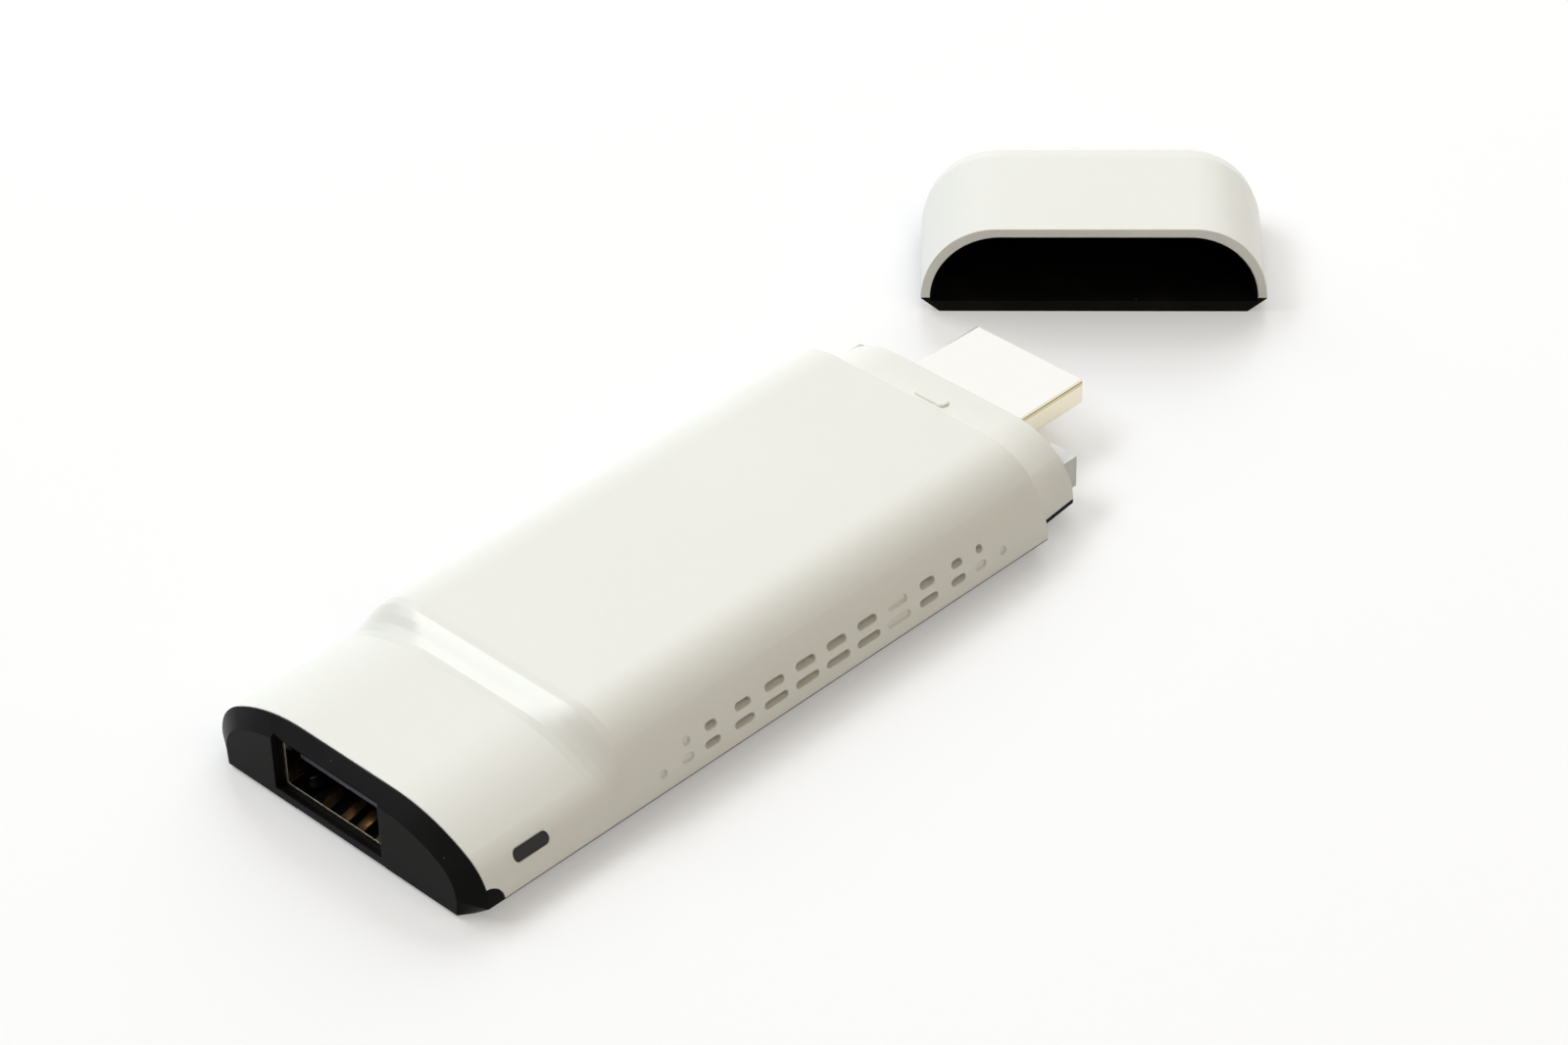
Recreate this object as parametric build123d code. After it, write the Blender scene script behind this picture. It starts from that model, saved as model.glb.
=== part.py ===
from build123d import *
import math
import os

# A streaming stick: a flat white stick with a video plug at one end and a USB socket
# at the other, and the loose cap of the plug lying beside it.
# Millimetres. X runs along the stick towards the plug, Z is up, and the origin is the
# middle of the flat underside. The vents and the reset button are on the -Y side.

# Outer form of the stick
shell_length = 72.8
shell_width = 34.9
parting_height = 1.55
base_chamfer = 1.9
corner_run = 7.5
near_corner_run = 11.5
ramp_start = 15.4
ramp_length = 3.9
wall = 1.3
floor_thickness = 1.0
seam = 0.08

# End wall round the USB socket
end_wall = 1.6
bevel_depth = 1.5
bevel_top = 1.25
bevel_side = 2.4
bevel_base = 0.35
corner_sweep = 1.7
pry_notch_width = 11.6
pry_notch_height = 0.4
pry_notch_length = 5.0
rail_gap = 0.25
rail_thickness = 0.7

# Neck that the cap slides over
neck_length = 6.1
neck_wall = 1.0
neck_root_inset = 1.65
neck_tip_inset = 2.2
neck_room = 0.35
neck_low = 1.45
neck_parting = 1.85
bump_length = 4.0
bump_width = 1.2
bump_height = 0.22
bump_from_step = 2.9

# Vents in the -Y side
vent_columns = 13
vent_pitch = 4.0
vent_end_pitch = 3.05
vent_middle_x = 8.25
vent_low_z = 3.45
vent_row_pitch = 1.5
vent_height = 0.75
vent_length = 3.0
vent_end_flats = 4
vent_step = 0.53
vent_row_short = 0.5
vent_blind_depth = 0.2
vent_full_reach = 2
vent_wide_reach = 4
vent_rib_column = 2

# Reset button in the -Y side
button_x = 7.4
button_z = 4.3
button_length = 4.0
button_height = 1.0
button_gap = 0.06
button_flange = 0.55
button_flange_thickness = 0.5
button_recess = 0.08
button_travel = 0.3
button_free_play = 0.05
button_seat_depth = 2.85
button_stem = 0.45
button_stem_height = 0.6
switch_width = 4.2
switch_depth = 2.7
switch_height = 1.9
switch_plunger_width = 1.9
switch_plunger_reach = 0.6
switch_leg = 0.6
switch_leg_sheet = 0.2
switch_leg_inset = 0.5

# Board
board_thickness = 1.0
board_low = 3.0
board_side_gap = 1.55
board_gap = 0.3
board_corner = 1.5
post_radius = 1.9
screw_radius = 0.8
screw_head_radius = 1.45
screw_head_height = 0.8
screw_length = 2.6
screw_play = 0.05
screw_bore_floor = 1.2
screw_drive = 1.5
screw_drive_width = 0.35
screw_drive_depth = 0.4

# USB socket
usb_offset = 1.5
usb_floor_gap = 0.35
usb_width = 13.1
usb_height = 5.7
usb_depth = 14.0
usb_sheet = 0.3
usb_recess = 0.9
usb_play = 0.1
usb_mouth_play = 0.4
usb_tongue_width = 11.1
usb_tongue_thickness = 1.84
usb_tongue_gap = 0.72
usb_tongue_reach = 9.0
usb_contact_width = 1.0
usb_contact_sheet = 0.25
usb_contact_rise = 0.75
usb_contact_offsets = (-3.5, -1.0, 1.0, 3.5)
usb_contact_tip = 0.6
usb_contact_crest = 0.33
usb_tongue_edge = 0.25
usb_spring_radius = 2.1
usb_spring_bulge = 0.4
usb_spring_height = 2.4
usb_spring_back = 3.6
usb_spring_drop = 0.4
usb_tab_length = 1.5
usb_tab_reach = 1.0
usb_tab_places = (4.5, 10.5)

# Video plug
plug_width = 13.9
plug_height = 4.45
plug_side = 2.65
plug_base_half = 5.2
plug_reach = 10.9
plug_root = 4.5
plug_cover = 0.7
plug_sheet = 0.35
plug_lip = 0.6
plug_slot_width = 11.2
plug_slot_height = 1.5
plug_slot_depth = 9.0
plug_contact_count = 19
plug_contact_pitch = 0.5
plug_contact_width = 0.3
plug_contact_sheet = 0.2
plug_groove = 0.12
plug_groove_drop = 0.5
plug_corner = 0.5
plug_edge = 0.15
plug_contact_start = 0.4
plug_tail = 1.6

# Frame round the root of the plug
nose_depth = 3.0
nose_front = 1.2
nose_play = 0.1
nose_edge = 0.4
ear_reach = 2.6
ear_width = 3.1
ear_height = 3.4
ear_chamfer = 0.8

# Cap
cap_gap = 0.15
cap_wall = 0.9
cap_liner = 0.5
cap_fit = 0.03
cap_floor = 1.2
cap_end_room = 0.6
cap_end_round = 5.0
cap_lead_length = 2.2
cap_lead_depth = 0.43
cap_turn = 42.3
cap_pole_ahead = 9.0
cap_pole_aside = 46.5
cap_groove_depth = 0.15
cap_end_drop = 0.7

# Power jack and card slot in the +Y side
jack_width = 7.5
jack_height = 2.5
jack_depth = 5.3
jack_sheet = 0.25
jack_tongue_width = 3.9
jack_tongue_thickness = 0.6
jack_contact_count = 5
jack_contact_pitch = 0.65
jack_contact_width = 0.3
jack_set_back = 2.15
jack_corner = 0.6
jack_slope = 0.7
jack_back = 1.6
jack_lip = 0.4
card_width = 11.4
card_thickness = 1.1
socket_width = 14.4
socket_depth = 11.6
socket_height = 1.7
socket_sheet = 0.2
socket_set_back = 2.85
socket_floor = 0.3
socket_rail = 1.1
socket_back = 1.8
socket_latch = 2.4
card_contact_count = 8
card_contact_pitch = 1.1
card_contact_width = 0.6
card_contact_sheet = 0.15
card_contact_length = 4.5
card_contact_rise = 0.45
port_play = 0.25

# Chips and small parts on the board
part_gap = 1.2
board_margin = 2.1
soc_size = 14.0
soc_height = 1.2
pad_size = 12.0
pad_height = 0.5
spreader_length = 17.0
spreader_width = 18.0
spreader_height = 0.8
ram_length = 9.0
ram_width = 10.5
ram_height = 1.0
flash_length = 11.5
flash_width = 13.0
flash_height = 1.0
power_chip_size = 4.0
power_chip_height = 0.9
inductor_size = 2.8
inductor_height = 1.5
inductor_corner = 0.4
crystal_length = 2.5
crystal_width = 2.0
crystal_height = 0.7
crystal_corner = 0.3
capacitor_length = 1.6
capacitor_width = 0.8
capacitor_height = 0.8
capacitor_pitch = 3.2
capacitors_in_row = 12
capacitors_in_column = 2
wifi_length = 10.0
wifi_width = 11.0
wifi_board_height = 0.8
wifi_can_height = 1.3
wifi_can_sheet = 0.2
wifi_can_inset = 0.5
antenna_length = 7.0
antenna_width = 2.0
antenna_height = 0.9

# Where things are, worked out from the sizes above
half = shell_width / 2
foot_half = half - base_chamfer
plug_top_z = neck_parting + plug_height
neck_top = plug_top_z + plug_cover + neck_wall
shell_height = neck_top + neck_room + cap_wall + cap_liner
usb_centre_z = floor_thickness + usb_floor_gap + usb_height / 2
near_height = usb_centre_z + usb_height / 2 + bevel_top
x_end = -shell_length / 2
x_wall = x_end + end_wall
x_step = shell_length / 2
x_rim = x_step + neck_length
x_tip = x_rim + plug_reach
x_ramp = x_end + ramp_start
x_plateau = x_ramp + ramp_length
board_top = board_low + board_thickness
board_half_width = half - wall - board_side_gap
button_seat = half - button_seat_depth
post_x = x_ramp + 2 * post_radius
soc_x = post_x + post_radius + board_gap + spreader_length / 2
ram_x = soc_x + spreader_length / 2 + part_gap + ram_length / 2
ram_y = -board_half_width + board_margin + ram_width / 2
antenna_x = x_step - wall - 2 * part_gap - antenna_width / 2
wifi_x = antenna_x - (antenna_width + wifi_length) / 2 - part_gap
wifi_y = board_half_width - board_margin - wifi_width / 2
card_x = wifi_x - (wifi_length + socket_width) / 2 - part_gap
socket_front = half - socket_set_back
soc_y = socket_front - socket_depth - part_gap / 2 - soc_size / 2
jack_x = post_x + screw_head_radius + part_gap + jack_width / 2
jack_front = half - jack_set_back
power_chip_x = soc_x - spreader_length / 2 - part_gap / 2 - power_chip_size / 2


def corner_radii(run, rise):
    """The two radii of a quarter oval, at its side and at its top, and the turn where they meet."""
    across = math.hypot(run, rise)
    side = across * (across + rise - run) / (2 * run)
    top = across * (across + run - rise) / (2 * rise)
    turn = math.degrees(math.atan2(abs(top - rise), abs(run - side)))
    return side, top, turn or 45


def d_face(x, half_width, foot, low, parting, top, run):
    """The section of the stick: flat base, leaning foot, long round corners, flat top."""
    shoulder = half_width - run
    r_side, r_top, turn = corner_radii(run, top - parting)
    edges = [
        Line((-foot, low), (foot, low)),
        Line((foot, low), (half_width, parting)),
        CenterArc((half_width - r_side, parting), r_side, 0, turn),
        CenterArc((shoulder, top - r_top), r_top, turn, 90 - turn),
        Line((shoulder, top), (-shoulder, top)),
        CenterArc((-shoulder, top - r_top), r_top, 90, 90 - turn),
        CenterArc((r_side - half_width, parting), r_side, 180 - turn, turn),
        Line((-half_width, parting), (-foot, low)),
    ]
    return Plane.YZ.offset(x) * make_face(edges)


def between(sections, ruled=False):
    """A solid through a list of sections."""
    return loft([section.face() for section in sections], ruled=ruled)


def box(x0, x1, y0, y1, z0, z1):
    """A block from its low corner to its high corner."""
    return Pos((x0 + x1) / 2, (y0 + y1) / 2, (z0 + z1) / 2) * Box(x1 - x0, y1 - y0, z1 - z0)


def side_slot(x, z, length, height, y0, y1):
    """An obround bar along Y, for the slots in a side wall."""
    outline = Plane.XZ.offset(-y1) * Pos(x, z) * SlotOverall(length, height)
    return extrude(outline, y1 - y0)


def stick_form(inset, low, foot, x0, x1, steps=5):
    """The stick's form from x0 to x1, drawn in by an inset, with its ramp between two heights."""
    def section(x, share):
        top = near_height + (shell_height - near_height) * share - inset
        run = near_corner_run + (corner_run - near_corner_run) * share - inset / 2
        return d_face(x, half - inset, foot, low, parting_height, top, run)

    ramp = []
    for i in range(steps + 1):
        t = i / steps
        ramp.append(section(x_ramp + ramp_length * t, t * t * (3 - 2 * t)))
    near = extrude(section(x0, 0), x_ramp - x0, dir=(1, 0, 0))
    plateau = extrude(section(x_plateau, 1), x1 - x_plateau, dir=(1, 0, 0))
    return near + between(ramp, ruled=True) + plateau


def outer_form():
    """The whole outside of the stick up to the step, with the bevel round its USB end."""
    bevel = between([
        d_face(x_end, half - bevel_side, foot_half - bevel_side / 4, bevel_base,
               parting_height + bevel_base, near_height - bevel_top, near_corner_run - bevel_side),
        d_face(x_end + bevel_depth, half, foot_half, 0, parting_height, near_height, near_corner_run),
    ], ruled=True)
    return bevel + stick_form(0, 0, foot_half, x_end + bevel_depth, x_step)


def cavity_form():
    """The space inside the stick."""
    return stick_form(wall, floor_thickness, foot_half, x_wall, x_step - wall, steps=2)


def cover_region(gap):
    """Side view of what belongs to the white cover, with its rounded lower corner."""
    left = x_wall + gap
    low = parting_height + gap
    over = shell_height + wall
    edges = [
        Line((left, over), (left, low + corner_sweep)),
        RadiusArc((left, low + corner_sweep), (left + corner_sweep, low), corner_sweep),
        Line((left + corner_sweep, low), (x_step + wall, low)),
        Line((x_step + wall, low), (x_step + wall, over)),
        Line((x_step + wall, over), (left, over)),
    ]
    face = Plane.XZ * make_face(edges)
    return extrude(face, half + wall, both=True)


def neck_form(inset, low, x0, x1):
    """The neck's form, a little narrower at its rim than at its root."""
    def section(x):
        share = (x - x_step) / neck_length
        out = neck_root_inset + (neck_tip_inset - neck_root_inset) * share + inset
        return d_face(x, half - out, half - out, low, neck_parting, neck_top - inset,
                      corner_run - inset / 2)

    return between([section(x0), section(x1)], ruled=True)


def vents():
    """Two rows of slots, long in the middle and short at the ends, some of them blind."""
    middle = (vent_columns - 1) // 2
    through = []
    blind = []
    for i in range(-middle, middle + 1):
        reach = abs(i)
        outer_steps = max(reach - vent_wide_reach, 0)
        x = vent_pitch * (reach - outer_steps) + vent_end_pitch * outer_steps
        x = vent_middle_x + math.copysign(x, i)
        length = vent_length - vent_step * max(reach - vent_full_reach, 0)
        end = x + length / 2
        lengths = [length]
        if reach < middle:
            lengths.append(length - vent_row_short)
        for row, size in enumerate(lengths):
            place = (end - size / 2, vent_low_z + row * vent_row_pitch, size)
            closed = reach == middle or i in (1 - middle, vent_rib_column) or (i == middle - 1 and row == 0)
            (blind if closed else through).append(place)
    return through, blind


def vent_cutters():
    """Bars that cut the open vents through the wall and the blind ones into its skin."""
    through, blind = vents()
    cut = []
    for x, z, length in through:
        cut.append(vent_bar(x, z, length, -half + 3 * wall))
    for x, z, length in blind:
        cut.append(vent_bar(x, z, length, side_surface(z) + vent_blind_depth))
    return cut


def vent_bar(x, z, length, depth):
    """A bar from outside the -Y wall to a depth, with round ends made of narrow flats."""
    radius = vent_height / 2
    reach = length / 2 - radius
    points = []
    for end in (1, -1):
        for i in range(vent_end_flats + 1):
            angle = math.pi * (i / vent_end_flats - 1 / 2)
            points.append((end * (reach + radius * math.cos(angle)), end * radius * math.sin(angle)))
    outline = Plane.XZ.offset(-depth) * Pos(x, z) * make_face(Polyline(points + points[:1]))
    return extrude(outline, depth + half + wall)


def side_surface(z):
    """The place of the -Y outer wall at a height."""
    r_side, r_top, turn = corner_radii(corner_run, shell_height - parting_height)
    if z - parting_height < r_side * math.sin(math.radians(turn)):
        return r_side - half - math.sqrt(r_side ** 2 - (z - parting_height) ** 2)
    return corner_run - half - math.sqrt(r_top ** 2 - (z - shell_height + r_top) ** 2)


def top_cover():
    """White moulding: top, sides, step and neck in one shell."""
    shell = (outer_form() & cover_region(seam)) - cavity_form()
    neck = neck_form(0, neck_low, x_step - seam, x_rim)
    shell += neck & box(x_step - wall, x_rim, -half, half, neck_parting + seam, shell_height)
    shell -= neck_form(neck_wall, floor_thickness, x_step - wall - seam, x_rim)
    bump = extrude(Plane.XY.offset(neck_top - neck_wall / 2) * Pos(x_step + bump_from_step, 0)
                   * Rot(0, 0, 90) * SlotOverall(bump_length, bump_width), neck_wall / 2 + bump_height)
    shell += chamfer(bump.faces().sort_by(Axis.Z)[-1].edges(), bump_height / 2)
    for bar in vent_cutters():
        shell -= bar
    shell -= side_slot(x_end + button_x, button_z, button_length + 2 * button_gap,
                       button_height + 2 * button_gap, -half - wall, wall - button_seat)
    shell -= button_pocket()
    shell -= usb_bar(usb_play, x_wall - wall, usb_back() + usb_play)
    shell -= jack_opening()
    shell -= card_opening()
    return shell


def jack_opening():
    """Window for the power jack, with round corners."""
    z = board_top + jack_height / 2
    outline = Plane.XZ.offset(-half - wall) * Pos(jack_x, z) * RectangleRounded(
        jack_width + 2 * port_play, jack_height + 2 * port_play, jack_corner)
    return extrude(outline, 4 * wall)


def card_opening():
    """Slit for the memory card."""
    z = board_top + socket_height / 2
    return side_slot(card_x, z, card_width + 2 * port_play, card_thickness + port_play,
                     half - 3 * wall, half + wall)


def post_places():
    """Middles of the two posts that carry the board."""
    aside = board_half_width - 2 * post_radius + board_gap
    return [(post_x, -aside), (post_x, aside)]


def bottom_tray():
    """Black moulding: floor, end wall, posts, rails and the strip under the neck."""
    tray = (outer_form() - cover_region(0)) - cavity_form()
    rail_out = half - wall - rail_gap
    rail_in = rail_out - rail_thickness
    rail_top = parting_height + floor_thickness
    for side in (-1, 1):
        y0, y1 = sorted((side * rail_in, side * rail_out))
        tray += box(x_wall + corner_sweep, x_step - wall - seam, y0, y1, floor_thickness - seam, rail_top)
    strip = neck_form(0, neck_low, x_step, x_rim)
    tray += strip & box(x_step, x_rim, -half, half, neck_low, neck_parting)
    tongue = neck_form(neck_wall + seam, floor_thickness, x_step - 3 * wall, x_rim - nose_depth - nose_play)
    tray += tongue & box(x_step - 3 * wall, x_step, -half, half, floor_thickness, neck_parting)
    tray += tongue & box(x_step, x_rim, -half, half, neck_low, neck_parting)
    for x, y in post_places():
        post = Pos(x, y, floor_thickness) * Cylinder(
            post_radius, board_low - floor_thickness, align=(Align.CENTER, Align.CENTER, Align.MIN))
        tray += post
    for x, y in post_places():
        tray -= Pos(x, y, screw_bore_floor) * Cylinder(
            screw_radius + screw_play, board_low, align=(Align.CENTER, Align.CENTER, Align.MIN))
    tray -= usb_bar(usb_play, x_end - wall, x_wall + wall)
    mouth = usb_width / 2 + usb_mouth_play
    tall = usb_height / 2 + usb_play
    tray -= box(x_end - wall, x_end + usb_recess, usb_offset - mouth, usb_offset + mouth,
                usb_centre_z - tall, usb_centre_z + tall)
    tray -= box(x_end - wall, x_end + pry_notch_length, -pry_notch_width / 2, pry_notch_width / 2,
                -wall, pry_notch_height)
    return tray


def button_pocket():
    """Flat seat for the button's flange on the inside of the cover, and room for its switch."""
    reach = button_length / 2 + 2 * button_flange
    rise = button_height / 2 + button_flange + 2 * button_gap
    x = x_end + button_x
    seat = box(x - reach, x + reach, -button_seat, -button_seat + 4 * wall, button_z - rise, button_z + rise)
    room = switch_face() + switch_plunger_reach - 2 * button_gap
    return seat + box(x - reach, x + reach, room, room + 4 * wall, board_top,
                      board_top + switch_height + 2 * button_gap)


def reset_button():
    """Black obround button that follows the side of the cover, with a flange inside and a stem."""
    x = x_end + button_x
    flange_face = -button_seat + button_free_play
    cap = side_slot(x, button_z, button_length, button_height, -half, flange_face)
    cap &= stick_form(button_recess, 0, foot_half, x_end + bevel_depth, x_step)
    flange = side_slot(x, button_z, button_length + 2 * button_flange, button_height + 2 * button_flange,
                       flange_face, flange_face + button_flange_thickness)
    stem = side_slot(x, switch_z(), button_length / 2, button_stem_height,
                     flange_face + button_flange_thickness, switch_face())
    return cap + flange + stem


def switch_face():
    """Where the button's stem meets the switch's plunger."""
    return -button_seat + button_free_play + button_flange_thickness + button_stem


def switch_z():
    """Height of the switch's plunger."""
    return board_top + switch_height / 2


def switch_plunger():
    """Plunger of the side-push switch."""
    x = x_end + button_x
    wide = switch_plunger_width / 2
    body_face = switch_face() + switch_plunger_reach
    return box(x - wide, x + wide, switch_face(), body_face + button_travel, switch_z() - wide / 2,
               switch_z() + wide / 2)


def switch_body():
    """Housing of the side-push switch on the board, with a window for its plunger and four legs."""
    x = x_end + button_x
    face = switch_face() + switch_plunger_reach
    wide = switch_plunger_width / 2 + button_gap
    body = box(x - switch_width / 2, x + switch_width / 2, face, face + switch_depth, board_top,
               board_top + switch_height)
    rise = wide / 2 + button_gap
    body -= box(x - wide, x + wide, face - wall, face + 3 * button_travel, switch_z() - rise, switch_z() + rise)
    for side in (-1, 1):
        x0, x1 = sorted((x + side * switch_width / 2, x + side * (switch_width / 2 + switch_leg)))
        for y in (face + switch_leg_inset, face + switch_depth - switch_leg_inset - switch_leg):
            body += box(x0, x1, y, y + switch_leg, board_top, board_top + switch_leg_sheet)
    return body


def main_board():
    """Circuit board with the cut-outs of the USB socket and the button, and a tail for the plug."""
    x0 = x_wall + board_gap
    x1 = x_step - wall - board_gap
    outline = Plane.XY.offset(board_low) * Pos((x0 + x1) / 2, 0) * RectangleRounded(
        x1 - x0, 2 * board_half_width, board_corner)
    board = extrude(outline, board_thickness)
    board += box(x1 - board_corner, plug_back() - seam, -plug_width / 2, plug_width / 2,
                 board_low, board_top)
    board -= box(x0 - board_gap, usb_back() + board_gap, usb_offset - usb_width / 2 - board_gap,
                 usb_offset + usb_width / 2 + board_gap, board_low - seam, board_top + seam)
    reach = button_length / 2 + 2 * button_flange
    x = x_end + button_x
    board -= box(x - reach, x + reach, -half, switch_face(), board_low - seam, board_top + seam)
    for x, y in post_places():
        board -= Pos(x, y, board_low) * Cylinder(screw_radius + 2 * screw_play, 3 * board_thickness)
    return board


def board_screws():
    """Two pan-head screws that hold the board on its posts."""
    screws = []
    for x, y in post_places():
        head = Pos(x, y, board_top + screw_head_height / 2) * Cylinder(screw_head_radius, screw_head_height)
        top = board_top + screw_head_height
        for turn in (0, 90):
            head -= Pos(x, y, top) * Rot(0, 0, turn) * Box(screw_drive, screw_drive_width,
                                                           2 * screw_drive_depth)
        shank = Pos(x, y, board_top) * Cylinder(
            screw_radius, screw_length, align=(Align.CENTER, Align.CENTER, Align.MAX))
        screws.append(head + shank)
    return Compound(children=screws)


def usb_back():
    """Back of the USB socket."""
    return x_end + usb_recess + usb_depth


def usb_bar(play, x0, x1):
    """A bar with the outline of the USB socket, larger all round by some play."""
    outline = Plane.YZ.offset(x0) * Pos(usb_offset, usb_centre_z) * RectangleRounded(
        usb_width + 2 * play, usb_height + 2 * play, 2 * usb_sheet + play)
    return extrude(outline, x1 - x0)


def usb_shell():
    """Folded steel shell of the USB socket, with a spring on each side and four board tabs."""
    front = x_end + usb_recess
    shell = usb_bar(0, front, usb_back()) - usb_bar(-usb_sheet, front - wall, usb_back() - usb_sheet)
    for side in (-1, 1):
        inner = usb_offset + side * (usb_width / 2 - usb_sheet)
        away = side * (usb_spring_radius - usb_spring_bulge)
        bulge = Pos(front + usb_spring_back, inner + away, usb_centre_z - usb_spring_drop) * Cylinder(
            usb_spring_radius, usb_spring_height)
        y0, y1 = sorted((inner + side * usb_sheet / 2, inner - side))
        shell += bulge & box(front, usb_back(), y0, y1, 0, shell_height)
        reach = usb_sheet + board_gap + usb_tab_reach
        y0, y1 = sorted((inner + side * usb_sheet / 2, inner + side * reach))
        for start in usb_tab_places:
            shell += box(front + start, front + start + usb_tab_length, y0, y1,
                         board_top, board_top + usb_sheet)
    return shell


def usb_tongue_low():
    """Underside of the tongue in the USB socket."""
    return usb_centre_z + usb_height / 2 - usb_sheet - usb_tongue_gap - usb_tongue_thickness


def usb_tongue():
    """Plastic block at the back of the USB socket, with the tongue that carries the contacts."""
    back = usb_back() - usb_sheet
    root = x_end + 2 * usb_recess + usb_tongue_reach
    low = usb_tongue_low()
    block = usb_bar(-usb_sheet, root, back)
    tongue = box(root - usb_tongue_reach, root, usb_offset - usb_tongue_width / 2,
                 usb_offset + usb_tongue_width / 2, low, low + usb_tongue_thickness)
    tongue = chamfer(tongue.faces().sort_by(Axis.X)[0].edges(), usb_tongue_edge)
    return block + tongue


def usb_contacts():
    """Four bowed spring contacts under the tongue."""
    low = usb_tongue_low()
    root = x_end + 2 * usb_recess + usb_tongue_reach
    tip = root - usb_tongue_reach + usb_contact_tip
    crest = tip + usb_contact_crest * (root - tip)
    bow = [
        ThreePointArc((root, low - usb_contact_sheet), (crest, low - usb_contact_sheet - usb_contact_rise),
                      (tip, low - usb_contact_sheet)),
        Line((tip, low - usb_contact_sheet), (tip, low)),
        ThreePointArc((tip, low), (crest, low - usb_contact_rise), (root, low)),
        Line((root, low), (root, low - usb_contact_sheet)),
    ]
    contacts = []
    for offset in usb_contact_offsets:
        y = usb_offset + offset
        face = Plane.XZ.offset(-y - usb_contact_width / 2) * make_face(bow)
        contacts.append(extrude(face, usb_contact_width))
    return Compound(children=contacts)


def plug_back():
    """Back of the video plug's shell, inside the neck."""
    return x_rim - plug_root


def plug_bar(inset, x0, x1):
    """A bar with the plug's outline: full width above, both lower corners cut away."""
    top = plug_top_z - inset
    wide = plug_width / 2 - inset
    low = plug_top_z - plug_height + inset
    shoulder = plug_top_z - plug_side
    foot = plug_base_half - inset / 2
    points = [(-foot, low), (foot, low), (wide, shoulder), (wide, top), (-wide, top), (-wide, shoulder)]
    outline = Polyline(points + points[:1])
    bar = extrude(Plane.YZ.offset(x0) * make_face(outline), x1 - x0)
    return fillet(bar.edges().filter_by(Axis.X), max(plug_corner - inset, plug_edge))


def plug_shell():
    """Plated shell of the video plug, with the fold line along each side."""
    shell = plug_bar(0, plug_back(), x_tip)
    shell = chamfer(shell.faces().sort_by(Axis.X)[-1].edges(), plug_edge)
    shell -= plug_bar(plug_sheet, plug_back() - wall, x_tip + wall)
    z = plug_top_z - plug_groove_drop
    for side in (-1, 1):
        y0, y1 = sorted((side * (plug_width / 2 - plug_groove), side * half))
        shell -= box(x_rim - neck_length / 2, x_tip + wall, y0, y1, z - plug_groove, z)
    return shell


def plug_slot():
    """Low and high side of the slot in the plug's face."""
    middle = plug_top_z - plug_height / 2 + plug_groove
    return middle - plug_slot_height / 2, middle + plug_slot_height / 2


def plug_contacts():
    """Nineteen contacts: ten above the slot and nine below it, each with a tail on the board."""
    low, high = plug_slot()
    back = plug_back()
    contacts = []
    for i in range(plug_contact_count):
        y = (i - (plug_contact_count - 1) / 2) * plug_contact_pitch
        y0 = y - plug_contact_width / 2
        y1 = y + plug_contact_width / 2
        sheet = plug_contact_sheet
        upper = i % 2 == 0
        strip_z = high - sheet if upper else low
        tail_z = board_top if upper else board_low - sheet
        start = back + plug_contact_start
        strip = box(start, x_tip - 2 * plug_lip, y0, y1, strip_z, strip_z + sheet)
        riser = box(start, start + sheet, y0, y1, min(strip_z, tail_z), max(strip_z, tail_z) + sheet)
        tail = box(back - plug_tail, start + sheet, y0, y1, tail_z, tail_z + sheet)
        contacts.append(strip + riser + tail)
    return Compound(children=contacts)


def plug_insulator():
    """Black plastic that fills the plug's shell round its slot, with a channel for each contact."""
    low, high = plug_slot()
    block = plug_bar(plug_sheet, plug_back(), x_tip - plug_lip)
    wide = plug_slot_width / 2
    block -= box(x_tip - plug_lip - plug_slot_depth, x_tip, -wide, wide, low, high)
    for contact in plug_contacts().solids():
        block -= contact
    return block


def nose_frame():
    """Pale frame in the mouth of the neck that holds the root of the plug, with an ear on each side."""
    low = neck_parting + nose_play
    top = neck_top - neck_wall
    frame = neck_form(neck_wall + nose_play, neck_low, x_rim - nose_depth, x_rim)
    nose = neck_form(neck_wall + 2 * nose_play, neck_low, x_rim, x_rim + nose_front)
    frame += chamfer(nose.faces().sort_by(Axis.X)[-1].edges(), nose_edge)
    frame &= box(x_rim - nose_depth, x_rim + nose_front, -half, half, low, top)
    edge = half - neck_tip_inset - neck_wall - 2 * nose_play
    for side in (-1, 1):
        y0, y1 = sorted((side * edge, side * (edge - ear_width)))
        ear = box(x_rim, x_rim + ear_reach, y0, y1, low, low + ear_height)
        ear = chamfer(ear.faces().sort_by(Axis.X)[-1].edges(), ear_chamfer)
        frame += ear
    return frame - plug_bar(-screw_play, x_rim - nose_depth - wall, x_tip)


def cap_form(inset, low, foot, x0, end_inset):
    """The cap's form in its closed place: the stick's section, rounded off at its blind end."""
    x1 = x_step + cap_gap + cap_length() - end_inset
    turn = cap_end_round - end_inset

    def section(x, k):
        return d_face(x, half - inset - k, foot - k, low, parting_height,
                      shell_height - inset - cap_end_drop * k, corner_run - inset / 2)

    steps = 5
    rounded = []
    for i in range(steps + 1):
        angle = math.radians(90 * i / steps)
        rounded.append(section(x1 - turn + turn * math.sin(angle), turn * (1 - math.cos(angle))))
    return extrude(section(x0, 0), x1 - turn - x0, dir=(1, 0, 0)) + between(rounded, ruled=True)


def cap_length():
    """From the cap's mouth to its blind end."""
    return neck_length + plug_reach + cap_end_room + cap_liner + cap_wall - cap_gap


def cap_place():
    """Where the cap lies: turned about an upright line beside the neck."""
    pole = Pos(x_step + cap_pole_ahead, cap_pole_aside)
    return pole * Rot(0, 0, cap_turn) * pole.inverse()


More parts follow.
